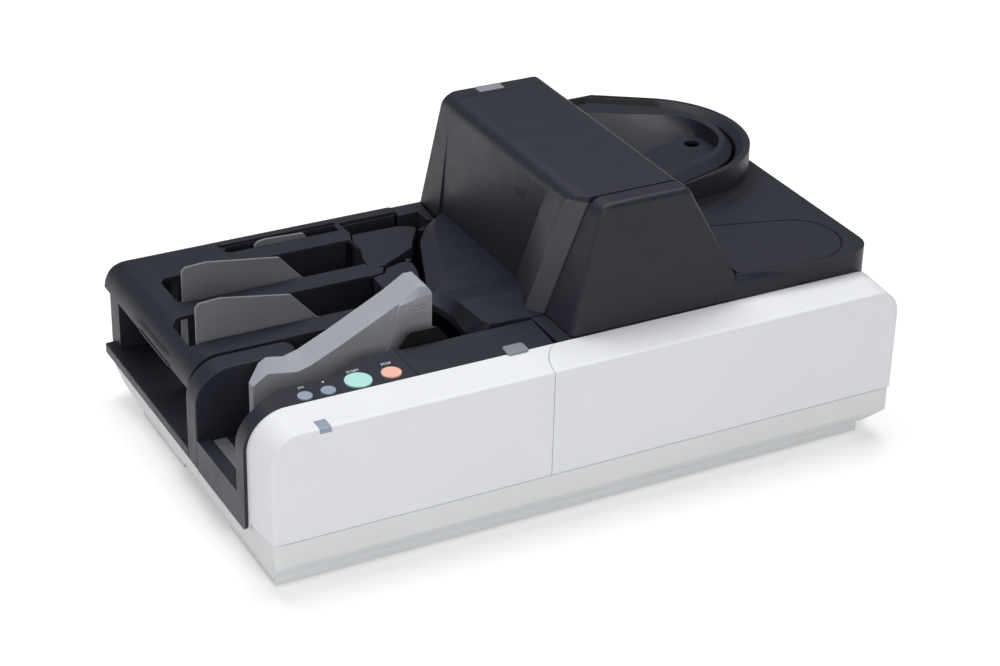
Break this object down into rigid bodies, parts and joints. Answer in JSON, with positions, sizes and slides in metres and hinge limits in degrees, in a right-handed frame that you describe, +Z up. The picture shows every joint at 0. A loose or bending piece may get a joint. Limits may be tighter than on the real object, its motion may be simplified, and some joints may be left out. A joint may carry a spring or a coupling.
{
  "type": "cheque scanner",
  "caption": "Desktop cheque scanner with an upright feeder, a hinged scanning tower, a U-turn track and slotted document pockets.",
  "frame": {"origin": "middle of the footprint, on the table that the rubber feet stand on", "axes": "+X along the front from the feeder end to the U-turn end, +Y from the front covers to the rear, +Z up"},
  "size_m": [0.53, 0.342, 0.2286],
  "materials": {
    "white_shell": "fine satin texture",
    "off_white_case": "satin",
    "charcoal_shell": "fine satin texture",
    "stripe_grey": "satin",
    "plate_grey": "satin",
    "pusher_grey": "satin",
    "pale_blue": "satin gloss",
    "start_mint": "satin gloss",
    "stop_peach": "satin gloss",
    "black_gloss": "polished",
    "black_part": "matte",
    "rubber": "matte",
    "steel": "brushed",
    "zinc_sheet": "zinc plated",
    "board_green": "solder mask",
    "glass": "clear"
  },
  "bodies": {
    "body": {"base_casing": "off_white_case", "rubber_feet": "rubber", "chassis_plate": "zinc_sheet", "chassis_screws": "steel", "main_board": "board_green", "front_left_cover": "white_shell", "front_right_cover": "white_shell", "lens": "pale_blue", "end_frame": "charcoal_shell", "button_board": "board_green", "feeder_floor": "charcoal_shell", "feeder_strip": "plate_grey", "feeder_hinge_pin": "steel", "feed_bracket": "black_part", "feed_guide": "black_gloss", "pusher_rod": "steel", "drive_motor": "steel", "drive_belts": "rubber", "divider_wall": "charcoal_shell", "pocket_roof": "charcoal_shell", "pocket_tray": "charcoal_shell", "rear_wall": "charcoal_shell", "pocket_guides": "charcoal_shell", "stacker_pins": "steel", "corner_wall": "charcoal_shell", "track_bed": "charcoal_shell", "track_walls": "charcoal_shell", "scan_modules": "black_part", "scan_glasses": "glass", "track_cover": "charcoal_shell", "hood_pins": "steel", "front_cap": "charcoal_shell", "tower_rear": "charcoal_shell", "loop_rim": "charcoal_shell", "loop_island": "charcoal_shell", "deck": "charcoal_shell", "rear_panel": "charcoal_shell", "sockets": "black_part"},
    "hood": {"tower_hood": "charcoal_shell", "tower_stripe": "stripe_grey"},
    "latch": {"hood_latch": "pale_blue"},
    "leaf": {"leaf_cover": "charcoal_shell"},
    "feeder_lid": {"feeder_cover": "charcoal_shell", "feeder_cover_tab": "pale_blue"},
    "key_jog": {"button_jog": "pale_blue"},
    "key_up": {"button_up": "pale_blue"},
    "key_start": {"button_start": "start_mint"},
    "key_stop": {"button_stop": "stop_peach"},
    "pusher_slide": {"pusher": "pusher_grey"},
    "pick_roller": {"pick_shaft": "steel", "pick_tyres": "rubber"},
    "feed_roller": {"feed_shaft": "steel", "feed_tyres": "rubber"},
    "motor_rotor": {"motor_shaft": "steel"},
    "plate_front": {"stacker_front": "plate_grey"},
    "plate_middle": {"stacker_middle": "plate_grey"},
    "plate_rear": {"stacker_rear": "plate_grey"},
    "gate_a": {"gate_rear": "black_part"},
    "gate_b": {"gate_middle": "black_part"},
    "rocker": {"power_switch": "black_gloss"}
  },
  "joints": [
    {"name": "hood_open", "type": "hinge", "parent": "body", "child": "hood", "pos_m": [0.137, 0.004, 0.168], "axis": [0, 0.9903, 0.1386], "range_deg": [0, 45]},
    {"name": "latch_press", "type": "slide", "parent": "body", "child": "latch", "axis": [0, 0, -1], "range_m": [0, 0.003], "stiffness_N_per_m": 300, "springref_m": -0.002},
    {"name": "leaf_open", "type": "hinge", "parent": "body", "child": "leaf", "pos_m": [0.1485, -0.082, 0.1435], "axis": [0, -1, 0], "range_deg": [0, 70]},
    {"name": "feeder_lid_open", "type": "hinge", "parent": "body", "child": "feeder_lid", "pos_m": [-0.074, -0.096, 0.1275], "axis": [-1, 0, 0], "range_deg": [0, 80]},
    {"name": "jog_press", "type": "slide", "parent": "body", "child": "key_jog", "axis": [0, 0, -1], "range_m": [0, 0.0015], "stiffness_N_per_m": 400, "springref_m": -0.001},
    {"name": "up_press", "type": "slide", "parent": "body", "child": "key_up", "axis": [0, 0, -1], "range_m": [0, 0.0015], "stiffness_N_per_m": 400, "springref_m": -0.001},
    {"name": "start_press", "type": "slide", "parent": "body", "child": "key_start", "axis": [0, 0, -1], "range_m": [0, 0.0015], "stiffness_N_per_m": 400, "springref_m": -0.001},
    {"name": "stop_press", "type": "slide", "parent": "body", "child": "key_stop", "axis": [0, 0, -1], "range_m": [0, 0.0015], "stiffness_N_per_m": 400, "springref_m": -0.001},
    {"name": "pusher_travel", "type": "slide", "parent": "body", "child": "pusher_slide", "axis": [0, -1, 0], "range_m": [0, 0.012]},
    {"name": "feed_spin", "type": "hinge", "parent": "body", "child": "feed_roller", "pos_m": [-0.069, -0.101, 0.08], "axis": [0, 0, 1], "continuous": true},
    {"name": "pick_spin", "type": "hinge", "parent": "body", "child": "pick_roller", "pos_m": [-0.105, -0.102, 0.08], "axis": [0, 0, 1], "continuous": true},
    {"name": "motor_spin", "type": "hinge", "parent": "body", "child": "motor_rotor", "pos_m": [-0.043, -0.104, 0.1], "axis": [0, 0, 1], "continuous": true},
    {"name": "plate_front_swing", "type": "hinge", "parent": "body", "child": "plate_front", "pos_m": [-0.095, 0.0042, 0.08], "axis": [0, 0, -1], "range_deg": [0, 12], "stiffness_Nm_per_rad": 0.02, "springref_deg": -5.73},
    {"name": "plate_middle_swing", "type": "hinge", "parent": "body", "child": "plate_middle", "pos_m": [-0.083, 0.0682, 0.08], "axis": [0, 0, -1], "range_deg": [0, 12], "stiffness_Nm_per_rad": 0.02, "springref_deg": -5.73},
    {"name": "plate_rear_swing", "type": "hinge", "parent": "body", "child": "plate_rear", "pos_m": [-0.083, 0.1302, 0.08], "axis": [0, 0, -1], "range_deg": [0, 2.5], "stiffness_Nm_per_rad": 0.02, "springref_deg": -5.73},
    {"name": "gate_a_swing", "type": "hinge", "parent": "body", "child": "gate_a", "pos_m": [-0.0085, 0.1085, 0.08], "axis": [0, 0, 1], "range_deg": [-6, 6]},
    {"name": "gate_b_swing", "type": "hinge", "parent": "body", "child": "gate_b", "pos_m": [-0.0422, 0.064, 0.08], "axis": [0, 0, 1], "range_deg": [-6, 6]},
    {"name": "power_rock", "type": "hinge", "parent": "body", "child": "rocker", "pos_m": [0.066, 0.167, 0.067], "axis": [1, 0, 0], "range_deg": [-7, 7]}
  ],
  "couplings": [
    {"joint": "pick_spin", "follows": "feed_spin", "ratio": 1},
    {"joint": "motor_spin", "follows": "feed_spin", "ratio": 1}
  ]
}
